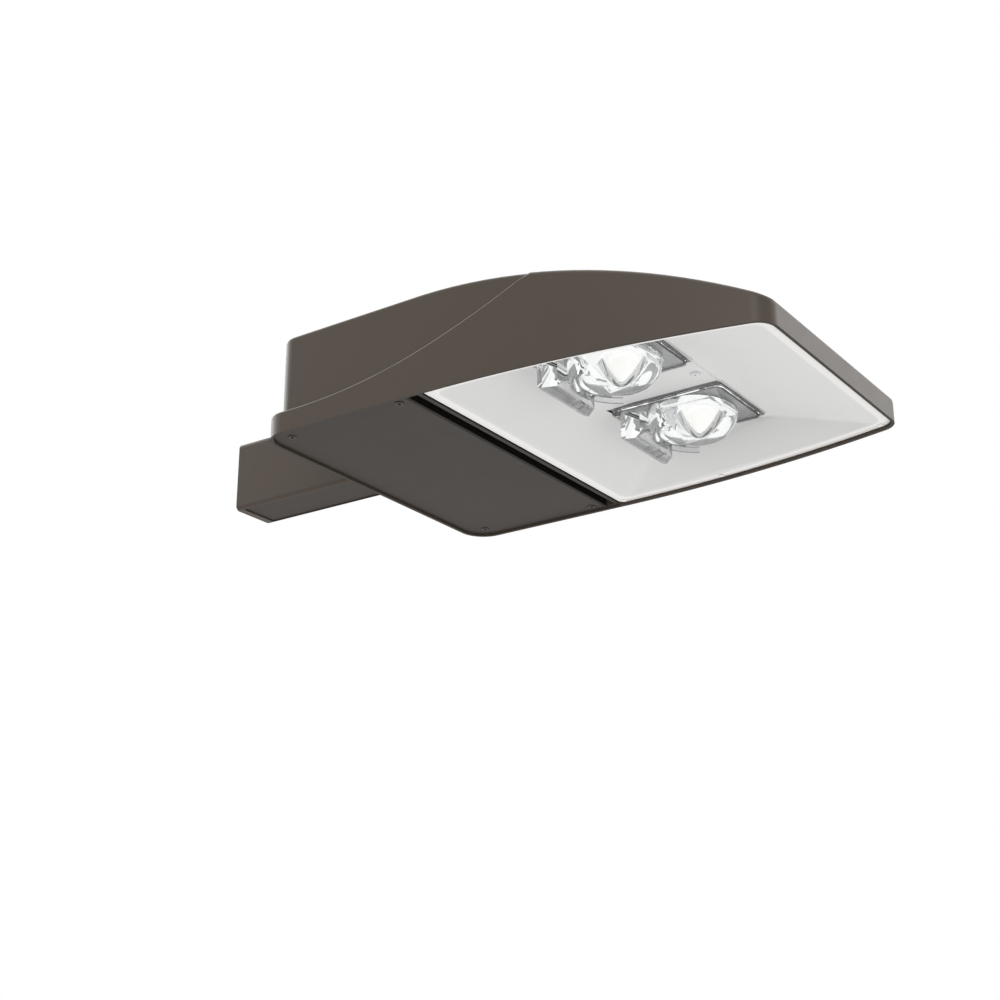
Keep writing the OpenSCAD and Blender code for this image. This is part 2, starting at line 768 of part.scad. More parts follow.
// Screw with a round head below a plate, driven upwards
module up_screw(p, z_head, length, head_d = small_head_d, head_h = small_head_h) {
    translate([p.x, p.y, z_head - head_h])
        difference() {
            union() {
                cylinder(d = head_d, h = head_h);
                cylinder(d = small_screw_d, h = head_h + length);
            }
            translate([0, 0, -eps])
                cylinder(d = socket_d, h = socket_depth, $fn = 6);
        }
}

module driver_screws() {
    color("silver")
        in_head()
            for (p = driver_holes)
                up_screw(p, driver_top - driver_tab_t, small_screw_len);
}

// Surge protector: a potted block on a mounting foot
module surge_protector() {
    color("#3C4A55")
        in_head()
            difference() {
                union() {
                    translate([surge_x, surge_y, driver_top - surge_h])
                        cube([surge_w, surge_len, surge_h]);
                    translate([surge_x + (surge_w - foot_w) / 2, surge_y - foot_reach,
                               driver_top - foot_t])
                        cube([foot_w, surge_len + 2 * foot_reach, foot_t]);
                }
                for (p = surge_holes)
                    small_bore(p, driver_top - 4, 5);
            }
}

module surge_screws() {
    color("silver")
        in_head()
            for (p = surge_holes)
                up_screw(p, driver_top - foot_t, small_screw_len);
}

// Terminal block with three wire entries on each long side
module terminal_block() {
    color("#E6E4DC")
        in_head()
            difference() {
                translate([terminal_x, terminal_y, driver_top - terminal_h])
                    cube([terminal_w, terminal_len, terminal_h]);
                for (p = terminal_holes)
                    small_bore(p, driver_top - terminal_h - 1, terminal_h + 2);
                for (p = terminal_holes)
                    translate([p.x, p.y, driver_top - terminal_h - eps])
                        cylinder(d = small_head_d + 1, h = terminal_h - terminal_web + eps);
                for (i = [-1 : 1])
                    translate([terminal_x + 4, terminal_y + terminal_len / 2 + i * terminal_pitch - 3,
                               driver_top - terminal_h - eps])
                        cube([terminal_w - 8, 6, 4]);
            }
}

module terminal_screws() {
    color("silver")
        in_head()
            for (p = terminal_holes)
                up_screw(p, driver_top - terminal_web, small_screw_len + 1);
}

// Round lead along a route: one ring of points at each point of a smoothed route
function mix(a, b, t) = a * (1 - t) + b * t;
function bezier(a, b, c, t) = mix(mix(a, b, t), mix(b, c, t), t);
function smooth_route(p, n = 2) = concat(
    [p[0]],
    [for (i = [1 : len(p) - 2], k = [0 : n])
        bezier((p[i - 1] + p[i]) / 2, p[i], (p[i] + p[i + 1]) / 2, k / n)],
    [p[len(p) - 1]]
);
function unit(v) = v / norm(v);
module lead(route, d = lead_d, sides = 7) {
    p = smooth_route(route);
    n = len(p);
    axis = [for (i = [0 : n - 1]) unit(p[min(i + 1, n - 1)] - p[max(i - 1, 0)])];
    side = [for (i = [0 : n - 1]) unit(cross(axis[i], [0.31, 0.27, 1]))];
    loft([for (i = [0 : n - 1])
        let (u = side[i], w = cross(axis[i], u))
        [for (k = [0 : sides - 1])
            p[i] + d / 2 * (cos(360 * k / sides) * u + sin(360 * k / sides) * w)]]);
}

// Leads from the terminal block and the surge protector to the driver
module supply_leads() {
    z = driver_top - lead_drop;
    color("#A02A24")
        in_head() {
            for (i = [-1 : 1]) {
                y = terminal_y + terminal_len / 2 + i * terminal_pitch;
                lead([[terminal_x + terminal_w, y, z], [terminal_x + terminal_w + 8, y, z],
                      [terminal_x + terminal_w + 16, y, z - 6],
                      [driver_x - 8, y, z], [driver_x, y, z]]);
            }
            for (i = [-1, 1]) {
                y = surge_y + surge_len / 2 + i * 8;
                lead([[surge_x + surge_w, y, z], [surge_x + surge_w + 6, y, z],
                      [surge_x + surge_w + 13, y, z - 6],
                      [driver_x - 6, y, z], [driver_x, y, z]]);
            }
        }
}

// Leads from the driver through the passage to the two light modules
lead_y = tunnel_y + lead_d / 2 + 0.1;
lead_z = z_deck + groove_h / 2;
module output_leads() {
    z = driver_top - driver_h + 12;
    y_out = driver_len / 2;
    x_out = driver_x + driver_w - 18;
    color("#24406E")
        in_head() {
            lead([[x_out, y_out, z], [x_out, y_out + 10, z], [x_out, y_out + 12, tunnel_z],
                  [x_out + 14, lead_y, tunnel_z], [bay_x1, lead_y, tunnel_z],
                  [x_bay + 8, lead_y, tunnel_z], [x_bay + 18, lead_y - 7, tunnel_z + 1],
                  [groove_x0 - 10, lead_in_y(1), tunnel_z + 4], [groove_x0 + 5, lead_in_y(1), lead_z],
                  [plate_x0 + 4, lead_in_y(1), lead_z]]);
            lead([[x_out - 12, y_out, z], [x_out - 12, y_out + 10, z],
                  [x_out - 12, y_out + 12, tunnel_z], [x_out, lead_y - lead_d - 0.2, tunnel_z],
                  [bay_x1, lead_y - lead_d - 0.2, tunnel_z],
                  [x_bay + 8, lead_y - lead_d - 0.2, tunnel_z], [x_bay + 16, module_y - 2, tunnel_z + 2],
                  [x_bay + 20, 0, tunnel_z + 2], [groove_x0 - 14, lead_in_y(-1) + 14, tunnel_z + 2],
                  [groove_x0 - 10, lead_in_y(-1), tunnel_z + 4], [groove_x0 + 5, lead_in_y(-1), lead_z],
                  [plate_x0 + 4, lead_in_y(-1), lead_z]]);
        }
}

// Rubber grommet at the mouth of the passage
module wire_grommet() {
    color("#1B1B1B")
        in_head()
            difference() {
                union() {
                    tunnel(tunnel_d - 0.2, bay_x1, bay_x1 + 8);
                    tunnel(tunnel_d + 5, bay_x1 - 2, bay_x1);
                }
                tunnel(2 * lead_d + 1.2, bay_x1 - 3, bay_x1 + 9);
            }
}

// White reflector pan: a flange, four sloped walls and a flat ceiling
module pan_body(t) {
    x0 = pan_x0 + pan_flange - t * 0.8;
    x1 = pan_x1 - pan_flange + t * 0.8;
    low = both_sides(side_pts(x0, x1, 10, tip_corner_r - 8, pan_side + pan_flange - t * 0.8));
    high = both_sides(box_pts(plate_x0 - pan_fold_rear - t * 0.8, plate_x1 + pan_fold_front + t * 0.8,
                              module_y + plate_w / 2 + pan_fold_side, 16));
    loft([
        [for (p = high) [p.x, p.y, z_ceiling + t]],
        [for (p = low) [p.x, p.y, z_pan + (t > 0 ? 0.5 : 0)]],
        [for (p = low) [p.x, p.y, z_pan - pad * (t > 0 ? 0 : 1)]]
    ]);
}
pan_rivet_x = [pan_x0 + 6, (pan_x0 + pan_x1) / 2 - 36, pan_x1 - 13];
pan_rivets_at = [for (x = pan_rivet_x, s = [-1, 1]) [x, s * (half_w(x) - pan_side - 4.5)]];
module reflector_pan() {
    color("#E9E9E7")
        in_head()
            difference() {
                union() {
                    plan(pan_x0, pan_x1, 6, tip_corner_r - pan_side, pan_side, z_pan, z_seat);
                    pan_body(pan_t);
                }
                pan_body(0);
                for (s = [-1, 1])
                    translate([plate_x0 - 0.5, s * module_y - plate_w / 2 - 0.5, z_ceiling - pad])
                        cube([plate_len + 1, plate_w + 1, pan_t + 2 * pad]);
                for (x = pan_screw_x)
                    small_bore([x, 0], z_ceiling - pad, pan_t + 2 * pad);
                for (p = pan_rivets_at)
                    translate([p.x, p.y, z_pan - pad])
                        cylinder(d = 3.4, h = pan_t + 2 * pad);
            }
}

module pan_screws() {
    color("#E9E9E7")
        in_head()
            for (x = pan_screw_x)
                up_screw([x, 0], z_ceiling, 5, pan_head_d, low_head_h);
}

module pan_rivets() {
    color("#E9E9E7")
        in_head()
            for (p = pan_rivets_at)
                translate([p.x, p.y, z_pan - 0.8]) {
                    cylinder(d = 5.5, h = 0.8);
                    cylinder(d = 3.2, h = 0.8 + pan_t);
                }
}

// Base plate of a light module: it spreads the heat into the deck
function lens_holes(y) = [for (s = [-1, 1])
    [plate_x0 + lens_screw_in, y + s * (plate_w / 2 - lens_screw_side)]];
module base_plate(y) {
    color("silver")
        in_head()
            difference() {
                union() {
                    translate([0, 0, z_plate])
                        linear_extrude(plate_t)
                            polygon(both_sides_at(y, box_pts(plate_x0, plate_x1, plate_w / 2, 3)));
                    translate([plate_x0 + 4, y + lead_in_side - groove_w / 2 + 0.3, z_deck - eps])
                        cube([5, groove_w - 0.6, groove_h - 0.2]);
                }
                for (p = lens_holes(y))
                    small_bore(p, z_plate - pad, plate_t + 2 * pad);
            }
}
function both_sides_at(y, side) = [for (p = both_sides(side)) [p.x, p.y + y]];

// Square light board with its round emitter
z_board = z_plate - board_t;
module light_board(y) {
    in_head() {
        color("#D9DADB")
            translate([x_module - board_w / 2, y - board_w / 2, z_board])
                cube([board_w, board_w, board_t]);
        color("#F2EBC0")
            translate([x_module, y, z_board - 0.5])
                cylinder(d = emitter_d, h = 0.5);
    }
}

// Outline of the lens flange, drawn in by d
module flange_shape(y, d, z0, z1) {
    translate([0, 0, z0])
        linear_extrude(z1 - z0)
            polygon(both_sides_at(y, box_pts(plate_x0 + lens_margin + d,
                plate_x1 - lens_margin - d, plate_w / 2 - lens_margin - d, 8 - d)));
}

module lens_seal(y) {
    color("#C9C9C5")
        in_head()
            difference() {
                flange_shape(y, 0.5, z_lens, z_plate);
                flange_shape(y, 3.5, z_lens - pad, z_plate + pad);
                for (p = lens_holes(y))
                    small_bore(p, z_lens - pad, seal_t + 2 * pad);
            }
}

// Bowl of the lens: half a superellipsoid whose rings lean back as they go down to its bottom
bowl_half = plate_w / 2 - lens_margin - bowl_margin;
bowl_lean = 4;
z_rim = z_lens - lens_flange_t;
function bowl_ring(y, a) = [for (k = [0 : 35])
    let (b = -10 * k,
         reach = cos(b) > 0 ? bowl_front : bowl_back,
         flat = cos(a) * norm([cos(b) / reach, sin(b) / bowl_half]),
         r = pow(pow(flat, bowl_power) + pow(sin(a) / bowl_depth, bowl_power), -1 / bowl_power))
    [x_module - bowl_lean * sin(a) + r * cos(a) * cos(b), y + r * cos(a) * sin(b),
     z_rim - r * sin(a)]];
module lens_bowl(y) {
    loft([for (a = [0, 10, 20, 31, 42, 53, 64, 75, 85]) bowl_ring(y, a)]);
}

// Hollow over the light source, drawn to a soft point: its radius is a power of the depth left
hollow_power = 0.62;
module lens_hollow(y) {
    steps = 9;
    translate([x_module, y, z_board])
        rotate_extrude()
            polygon(concat(
                [[0, pad], [hollow_r, pad]],
                [for (i = [0 : steps]) let (t = i / steps)
                    [hollow_r * pow(1 - t, hollow_power), -hollow_depth * t]]
            ));
}

// Prism wall behind the light source, with chamfered ends and a slanted lower edge
prism_edge = 1.5;
module prism_wall(y) {
    x0 = x_module - prism_back;
    x1 = x0 + prism_t;
    z_low = z_rim - bowl_depth + prism_edge;
    intersection() {
        translate([0, 0, z_low])
            linear_extrude(z_rim - z_low + 0.5)
                polygon([for (s = [-1, 1], e = s < 0 ? [0, 1, 2] : [2, 1, 0])
                    [[x0, x0 + prism_end_t, x1][e],
                     y + s * (prism_w / 2 - (e == 2 ? prism_chamfer : 0))]]);
        translate([0, y + prism_w, 0])
            rotate([90, 0, 0])
                linear_extrude(2 * prism_w)
                    polygon([[x0, z_lens], [x0, z_low + prism_edge], [x0 + prism_end_t, z_low],
                             [x1, z_low + 2], [x1, z_lens]]);
    }
}

// Saw-tooth rings between the prism wall and the bowl, swept about the light source
module prism_rings(y) {
    inner = bowl_back - 9;
    pitch = (prism_back - prism_t + 1 - inner) / prism_steps;
    top = z_rim + 0.5;
    translate([x_module, y, 0])
        rotate([0, 0, 180 - prism_angle])
            rotate_extrude(angle = 2 * prism_angle)
                for (i = [0 : prism_steps - 1]) {
                    r = inner + i * pitch;
                    low = top - bowl_depth * (0.62 + 0.22 * i / (prism_steps - 1));
                    polygon([[r - 1, top], [r, low], [r + 0.4 * pitch, low],
                             [r + pitch, top - 0.35 * bowl_depth], [r + pitch, top]]);
                }
}

module lens(y) {
    color("white", 0.4)
        in_head()
            difference() {
                union() {
                    flange_shape(y, 0, z_rim, z_lens);
                    lens_bowl(y);
                    prism_wall(y);
                    prism_rings(y);
                }
                translate([x_module - board_w / 2 - 1, y - board_w / 2 - 1, z_board - 0.7])
                    cube([board_w + 2, board_w + 2, board_t + 2]);
                lens_hollow(y);
                for (p = lens_holes(y))
                    small_bore(p, z_rim - pad, lens_flange_t + 2 * pad);
            }
}

module lens_screws(y) {
    color("silver")
        in_head()
            for (p = lens_holes(y))
                up_screw(p, z_rim, small_screw_len, lens_head_d, low_head_h);
}

// Arm: a cast channel with a plate at each end, open below
arm_x1 = x_upper - arm_gasket_t;
arm_low_x1 = x_rear - 0.5;
arm_z0 = arm_lift;
arm_z1 = arm_lift + arm_h;
arm_step_z = rim_h + 0.5;
head_bolt_mid = (arm_step_z + arm_z1) / 2;
module arm_profile(d) {
    polygon(concat(
        [for (c = [[-1, 0], [1, 0], [1, 1], [-1, 1]], i = [0 : 4])
            let (r = arm_edge_r,
                 a = (c.x < 0 ? (c.y > 0 ? 90 : 180) : (c.y > 0 ? 0 : 270)) + 22.5 * i,
                 cy = c.x * (arm_w / 2 - r),
                 cz = c.y > 0 ? arm_z1 - r : arm_z0 + r)
            [cy + (r - d) * cos(a), cz + (r - d) * sin(a)]]
    ));
}
module along_x(x0, x1) {
    translate([x0, 0, 0])
        rotate([90, 0, 90])
            linear_extrude(x1 - x0)
                children();
}
module arm() {
    strip_z = arm_z0 + strip_recess;
    color(bronze)
        in_head()
            difference() {
                union() {
                    along_x(0, arm_low_x1)
                        arm_profile(0);
                    intersection() {
                        along_x(0, arm_x1)
                            arm_profile(0);
                        translate([0, -arm_w, arm_step_z])
                            cube([arm_x1, 2 * arm_w, arm_h]);
                    }
                }
                translate([pole_plate_t, -arm_w / 2 + arm_wall, arm_z0 - pad])
                    cube([arm_low_x1 - arm_wall - pole_plate_t, arm_w - 2 * arm_wall,
                          arm_h - arm_wall + pad]);
                translate([pole_plate_t, -arm_w / 2 + arm_wall, arm_step_z + arm_wall])
                    cube([arm_x1 - head_plate_t - pole_plate_t, arm_w - 2 * arm_wall,
                          arm_z1 - arm_wall - arm_step_z - arm_wall]);
                translate([pole_plate_t, -arm_w / 2 + arm_wall - 1.3, strip_z])
                    cube([arm_low_x1 - arm_wall - pole_plate_t, arm_w - 2 * arm_wall + 2.6, strip_t + 0.1]);
                for (s = [-1, 1])
                    translate([-pad, 0, -head_z + s * pole_bolt_spacing / 2])
                        rotate([0, 90, 0])
                            cylinder(d = pole_bolt_hole_d, h = pole_plate_t + 2 * pad);
                translate([-pad, 0, -head_z])
                    rotate([0, 90, 0])
                        cylinder(d = wire_hole_d, h = pole_plate_t + 2 * pad);
                translate([arm_x1 - head_plate_t - pad, 0, head_bolt_mid])
                    rotate([0, 90, 0])
                        cylinder(d = wire_hole_d, h = head_plate_t + 2 * pad);
                arm_bolt_places()
                    translate([0, 0, arm_x1 - head_plate_t - pad])
                        cylinder(d = arm_bolt_d + 0.2, h = head_plate_t + 2 * pad);
            }
}

// Strip that closes the arm from below, snapped into a groove on each side
module arm_strip() {
    color(bronze_dark)
        in_head()
            translate([pole_plate_t + 0.2, -arm_w / 2 + arm_wall - 1.2, arm_z0 + strip_recess])
                cube([arm_low_x1 - arm_wall - pole_plate_t - 0.4, arm_w - 2 * arm_wall + 2.4, strip_t]);
}

// Gasket between the arm and the rear wall of the head
module arm_gasket() {
    color("#1E1E1E")
        in_head()
            difference() {
                translate([arm_x1, -arm_w / 2 + 2, arm_step_z + 2])
                    cube([arm_gasket_t, arm_w - 4, arm_z1 - arm_step_z - 4]);
                translate([arm_x1 - pad, 0, head_bolt_mid])
                    rotate([0, 90, 0])
                        cylinder(d = wire_hole_d, h = arm_gasket_t + 2 * pad);
                arm_bolt_places()
                    translate([0, 0, arm_x1 - pad])
                        cylinder(d = arm_bolt_d + 2 * screw_gap, h = arm_gasket_t + 2 * pad);
            }
}

// Hexagon bolts from inside the driver bay into the arm
module arm_bolts() {
    head_x = x_upper + wall + 3;
    color("#8A8A88")
        in_head()
            arm_bolt_places() {
                translate([0, 0, head_x])
                    cylinder(d = 1.7 * arm_bolt_d, h = 5, $fn = 6);
                translate([0, 0, arm_x1 - head_plate_t - 2])
                    cylinder(d = arm_bolt_d, h = head_x + 1 - arm_x1 + head_plate_t + 2);
            }
}

arm();
arm_strip();
arm_gasket();
arm_bolts();
housing();
heat_sink();
heat_sink_screws();
cover_gasket();
driver_cover();
cover_screw(cover_screws[0]);  // cover_screw_rear_left
cover_screw(cover_screws[1]);  // cover_screw_rear_right
cover_screw(cover_screws[2]);  // cover_screw_front_left
cover_screw(cover_screws[3]);  // cover_screw_front_right
led_driver();
driver_screws();
surge_protector();
surge_screws();
terminal_block();
terminal_screws();
supply_leads();
output_leads();
wire_grommet();
reflector_pan();
pan_screws();
pan_rivets();
base_plate(module_y);  // base_plate_left
base_plate(-module_y);  // base_plate_right
light_board(module_y);  // light_board_left
light_board(-module_y);  // light_board_right
lens_seal(module_y);  // lens_seal_left
lens_seal(-module_y);  // lens_seal_right
lens(module_y);  // lens_left
lens(-module_y);  // lens_right
lens_screws(module_y);  // lens_screws_left
lens_screws(-module_y);  // lens_screws_right
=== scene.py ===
"""Looks of a pole-mounted area light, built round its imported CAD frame. Sizes are in millimetres."""
import json
import math

import bmesh
import bpy
import numpy as np
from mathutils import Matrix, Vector
from mathutils.geometry import tessellate_polygon

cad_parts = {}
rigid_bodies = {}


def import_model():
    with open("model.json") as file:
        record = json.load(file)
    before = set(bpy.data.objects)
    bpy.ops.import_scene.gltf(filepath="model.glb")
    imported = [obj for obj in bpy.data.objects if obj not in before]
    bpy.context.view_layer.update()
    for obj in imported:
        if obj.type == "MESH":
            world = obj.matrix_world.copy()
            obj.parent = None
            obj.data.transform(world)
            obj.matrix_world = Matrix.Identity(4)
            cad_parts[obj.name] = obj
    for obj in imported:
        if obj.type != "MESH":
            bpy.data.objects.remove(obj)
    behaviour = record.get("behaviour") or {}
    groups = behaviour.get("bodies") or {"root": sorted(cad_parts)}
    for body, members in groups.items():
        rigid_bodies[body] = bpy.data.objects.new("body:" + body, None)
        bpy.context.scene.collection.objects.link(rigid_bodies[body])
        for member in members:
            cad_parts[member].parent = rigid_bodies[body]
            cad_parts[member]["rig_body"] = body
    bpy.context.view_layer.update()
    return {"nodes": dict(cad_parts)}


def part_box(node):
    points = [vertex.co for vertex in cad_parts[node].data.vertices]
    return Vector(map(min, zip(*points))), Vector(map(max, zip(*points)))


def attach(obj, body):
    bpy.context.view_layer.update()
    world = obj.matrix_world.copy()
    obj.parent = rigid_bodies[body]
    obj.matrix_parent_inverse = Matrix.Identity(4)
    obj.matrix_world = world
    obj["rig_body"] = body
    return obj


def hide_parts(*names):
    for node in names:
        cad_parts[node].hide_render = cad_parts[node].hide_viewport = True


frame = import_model()

MM = 0.001


def mm_box(node):
    """Lowest and highest corner of a CAD node, in millimetres."""
    low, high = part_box(node)
    return np.array(low) / MM, np.array(high) / MM


# Places taken from the frame, and the sizes of the head's outline and of its swept edge
HOUSING_LOW, HOUSING_HIGH = mm_box("housing")
PAN_LOW, PAN_HIGH = mm_box("reflector_pan")
UNDERSIDE = HOUSING_LOW[2]
X_REAR = HOUSING_LOW[0]
HEAD_LEN = HOUSING_HIGH[0] - HOUSING_LOW[0]
HALF_W = 177
SIDE_RUN = 178
SIDE_DRAW = 1.5
TIP_HALF = 133
RIM_H = 21
SWEEP_START = 33
SWEEP_RUN = 265
SWEEP_RISE = 67.8
EDGE_R = 1.5
EDGE_START = 22


def make_camera():
    """Where the photograph was taken from, found from the head's own edges and corners."""
    place = np.array([1202.7, -1281.7, -661.7])
    turn, pitch = math.radians(124.584), math.radians(20.333)
    look = Vector((
        math.cos(pitch) * math.cos(turn),
        math.cos(pitch) * math.sin(turn),
        math.sin(pitch),
    ))
    data = bpy.data.cameras.new("camera")
    data.lens = 62.43
    data.sensor_width = 36
    camera = bpy.data.objects.new("camera", data)
    camera.location = place * MM
    camera.rotation_euler = look.to_track_quat("-Z", "Y").to_euler()
    bpy.context.scene.collection.objects.link(camera)
    bpy.context.scene.camera = camera


make_camera()


# Node tools
def colour(code):
    """Linear colour of an sRGB hex value."""
    parts = [int(code[i:i + 2], 16) / 255 for i in (1, 3, 5)]
    return (*[c / 12.92 if c <= 0.04045 else ((c + 0.055) / 1.055) ** 2.4 for c in parts], 1.0)


def add(tree, kind, settings=None, **sockets):
    """Adds a shader node; settings are its properties, and a socket takes a value or another socket."""
    node = tree.nodes.new(kind)
    for key, value in (settings or {}).items():
        setattr(node, key, value)
    for key, value in sockets.items():
        socket = node.inputs[int(key[1:]) if key[0] == "i" and key[1:].isdigit() else key.replace("_", " ")]
        if isinstance(value, bpy.types.NodeSocket):
            tree.links.new(value, socket)
        else:
            socket.default_value = value
    return node


def new_material(name):
    """A material with a Principled shader, its tree and its Object coordinates in millimetres."""
    made = bpy.data.materials.new(name)
    made.use_nodes = True
    tree = made.node_tree
    place = add(tree, "ShaderNodeTexCoord").outputs["Object"]
    place = add(tree, "ShaderNodeVectorMath", {"operation": "SCALE"}, i0=place, Scale=1 / MM).outputs[0]
    return made, tree, tree.nodes["Principled BSDF"], place


def noise(tree, place, size, detail=2.0, rough=0.5, stretch=(1, 1, 1)):
    """Noise whose grains are about size millimetres across, stretched along the axes."""
    scaled = add(
        tree, "ShaderNodeMapping", {"vector_type": "POINT"},
        Vector=place, Scale=tuple(1 / (size * s) for s in stretch),
    ).outputs[0]
    return add(
        tree, "ShaderNodeTexNoise", Vector=scaled, Scale=1.0, Detail=detail, Roughness=rough
    ).outputs["Fac"]


def span(tree, value, low, high, start=0.3, end=0.7):
    """Spreads a value between start and end over the range from low to high."""
    return add(
        tree, "ShaderNodeMapRange", None,
        Value=value, From_Min=start, From_Max=end, To_Min=low, To_Max=high,
    ).outputs[0]


def two_tone(tree, value, first, second):
    """Mix of two hex colours."""
    mixer = add(tree, "ShaderNodeMix", {"data_type": "RGBA"}, Factor=value)
    mixer.inputs[6].default_value = colour(first)
    mixer.inputs[7].default_value = colour(second)
    return mixer.outputs[2]


def bump(tree, shader, height, depth, strength=1.0):
    """Bump of depth millimetres from a height between 0 and 1."""
    raised = add(tree, "ShaderNodeBump", None, Height=height, Distance=depth * MM, Strength=strength)
    tree.links.new(raised.outputs[0], shader.inputs["Normal"])


def surface(
    name, first, second, rough, grain, depth,
    patch=40.0, metallic=0.0, rough_spread=0.04, gloss=0.5,
):
    """A coat or moulding: two close colours in soft patches, a roughness that wanders, and a fine grain."""
    made, tree, shader, place = new_material(name)
    tree.links.new(
        two_tone(tree, span(tree, noise(tree, place, patch), 0, 1), first, second),
        shader.inputs["Base Color"],
    )
    wander = span(tree, noise(tree, place, patch / 3), rough - rough_spread, rough + rough_spread)
    tree.links.new(wander, shader.inputs["Roughness"])
    shader.inputs["Metallic"].default_value = metallic
    shader.inputs["Specular IOR Level"].default_value = gloss
    bump(tree, shader, noise(tree, place, grain, 3.0, 0.6), depth)
    return made


def within(tree, place, low, high):
    """1 inside the box from low to high, in millimetres, and 0 outside it."""
    below = add(tree, "ShaderNodeVectorMath", {"operation": "SUBTRACT"}, i0=place, i1=low).outputs[0]
    above = add(tree, "ShaderNodeVectorMath", {"operation": "SUBTRACT"}, i0=high, i1=place).outputs[0]
    least = add(tree, "ShaderNodeVectorMath", {"operation": "MINIMUM"}, i0=below, i1=above).outputs[0]
    x, y, z = add(tree, "ShaderNodeSeparateXYZ", Vector=least).outputs
    least = add(tree, "ShaderNodeMath", {"operation": "MINIMUM"}, i0=x, i1=y).outputs[0]
    least = add(tree, "ShaderNodeMath", {"operation": "MINIMUM"}, i0=least, i1=z).outputs[0]
    return add(tree, "ShaderNodeMath", {"operation": "GREATER_THAN"}, i0=least, i1=0.0).outputs[0]


def painted_light_and_shade(made, code, *boxes):
    """Another colour within boxes: painted shade in deep recesses and along an edge, and painted light on an
    open face.
    """
    tree = made.node_tree
    shader = tree.nodes["Principled BSDF"]
    place = tree.nodes["Vector Math"].outputs[0]
    for low, high in boxes:
        base = shader.inputs["Base Color"].links[0].from_socket
        mixer = add(tree, "ShaderNodeMix", {"data_type": "RGBA"}, Factor=within(tree, place, low, high))
        tree.links.new(base, mixer.inputs[6])
        mixer.inputs[7].default_value = colour(code)
        tree.links.new(mixer.outputs[2], shader.inputs["Base Color"])
    return made


# Air slot: its walls, its half length, and how far up painted shade darkens them and the lip
SLOT_BACK = PAN_LOW[0] - 16.1
SLOT_FRONT = PAN_LOW[0] - 6.6
SLOT_HALF = 168.5
SLOT_DEEP = 70
LIP_DEEP = 8
# Painted shade: near black inside the slot, and dark brown on the lip's sides
SLOT_PAINTED_SHADE = "#14110E"
LIP_PAINTED_SHADE = "#26221F"


def slot_box(x0, x1, z0, z1):
    """Box as long as the slot, with its heights above the underside."""
    return (x0, -SLOT_HALF, UNDERSIDE + z0), (x1, SLOT_HALF, UNDERSIDE + z1)


# Powder coat on die-cast aluminium: a satin dark bronze with a fine orange peel about 0.8 mm across
BRONZE = surface(
    "bronze_powder_coat", "#453C34", "#463D35", 0.45, 0.8, 0.015,
    patch=80.0, rough_spread=0.015, gloss=0.28,
)
# Painted shade: the slot's walls and the far side of its lip, painted near black where shade falls
painted_light_and_shade(
    BRONZE, SLOT_PAINTED_SHADE,
    slot_box(SLOT_BACK - 4, SLOT_FRONT + 0.6, 0.3, SLOT_DEEP),
    slot_box(SLOT_FRONT + 3.0, PAN_LOW[0] + 2, 0.8, LIP_DEEP),
)
# The same coat, painted paler along the swept edge as a painted highlight
BRONZE_PAINTED_HIGHLIGHT = surface("bronze_powder_coat_painted_highlight", "#79726B", "#7C756E", 0.4, 0.8, 0.01, gloss=0.3)
# The same coat, painted a little cooler and darker as shade on what faces down, the cover and the strip, and
# duller
BRONZE_PAINTED_SHADE = surface(
    "bronze_powder_coat_dark", "#3C3733", "#3D3834", 0.5, 0.8, 0.012,
    patch=80.0, rough_spread=0.01, gloss=0.12,
)
# Painted shade: the cover's front edge at the slot near black, and both sides of the lip dark brown
painted_light_and_shade(BRONZE_PAINTED_SHADE, SLOT_PAINTED_SHADE, slot_box(SLOT_BACK - 4, SLOT_FRONT - 1.0, 0.3, LIP_DEEP))
painted_light_and_shade(
    BRONZE_PAINTED_SHADE, LIP_PAINTED_SHADE,
    slot_box(SLOT_FRONT - 0.5, SLOT_FRONT + 1.4, -1, LIP_DEEP),
    slot_box(SLOT_FRONT + 3.0, PAN_LOW[0] + 2, -1, LIP_DEEP),
)
# Coated steel screws: nearly black, smoother than the casting
SCREW_DARK = surface("dark_screw_steel", "#33302C", "#383531", 0.38, 0.4, 0.01, gloss=0.3)
# Zinc-plated steel: a pale metal with a faint cloudy bloom
ZINC = surface(
    "zinc_steel", "#B9B9B4", "#A9AAA8", 0.32, 0.5, 0.01,
    patch=12.0, metallic=1.0, rough_spread=0.08,
)
# Moulded black rubber: matt, with a fine skin
RUBBER = surface("black_rubber", "#1C1C1C", "#232323", 0.7, 0.6, 0.03)
# Painted steel case of the driver
DRIVER_PAINT = surface("driver_case_paint", "#262728", "#2D2E2F", 0.42, 0.7, 0.02)
# Moulded ABS of the surge protector
SURGE_CASE = surface("surge_case_plastic", "#3B4650", "#414D57", 0.5, 0.5, 0.02)
# Moulded nylon of the terminal block
TERMINAL = surface("terminal_plastic", "#DEDCD3", "#E4E2DA", 0.45, 0.5, 0.01)
# PVC insulation
LEAD_RED = surface("red_lead_pvc", "#93271F", "#A02D24", 0.4, 0.5, 0.01)
LEAD_BLUE = surface("blue_lead_pvc", "#233F6C", "#2A4876", 0.4, 0.5, 0.01)
# White enamel on sheet aluminium: satin, with a broad shallow orange peel
WHITE = surface("white_enamel", "#DADADA", "#D9D9D9", 0.42, 1.6, 0.01, patch=90.0, rough_spread=0.02)
# Painted light: its flange, which lies in the open, is painted paler than the rest of the pan
painted_light_and_shade(
    WHITE, "#EBE9E7",
    ((PAN_LOW[0] - 1, -HALF_W, PAN_LOW[2] - 1), (PAN_HIGH[0] + 1, HALF_W, PAN_LOW[2] + 0.5)),
)
# White solder mask of the light board
BOARD = surface("light_board_laminate", "#F2F2EE", "#F6F6F3", 0.4, 0.8, 0.01)
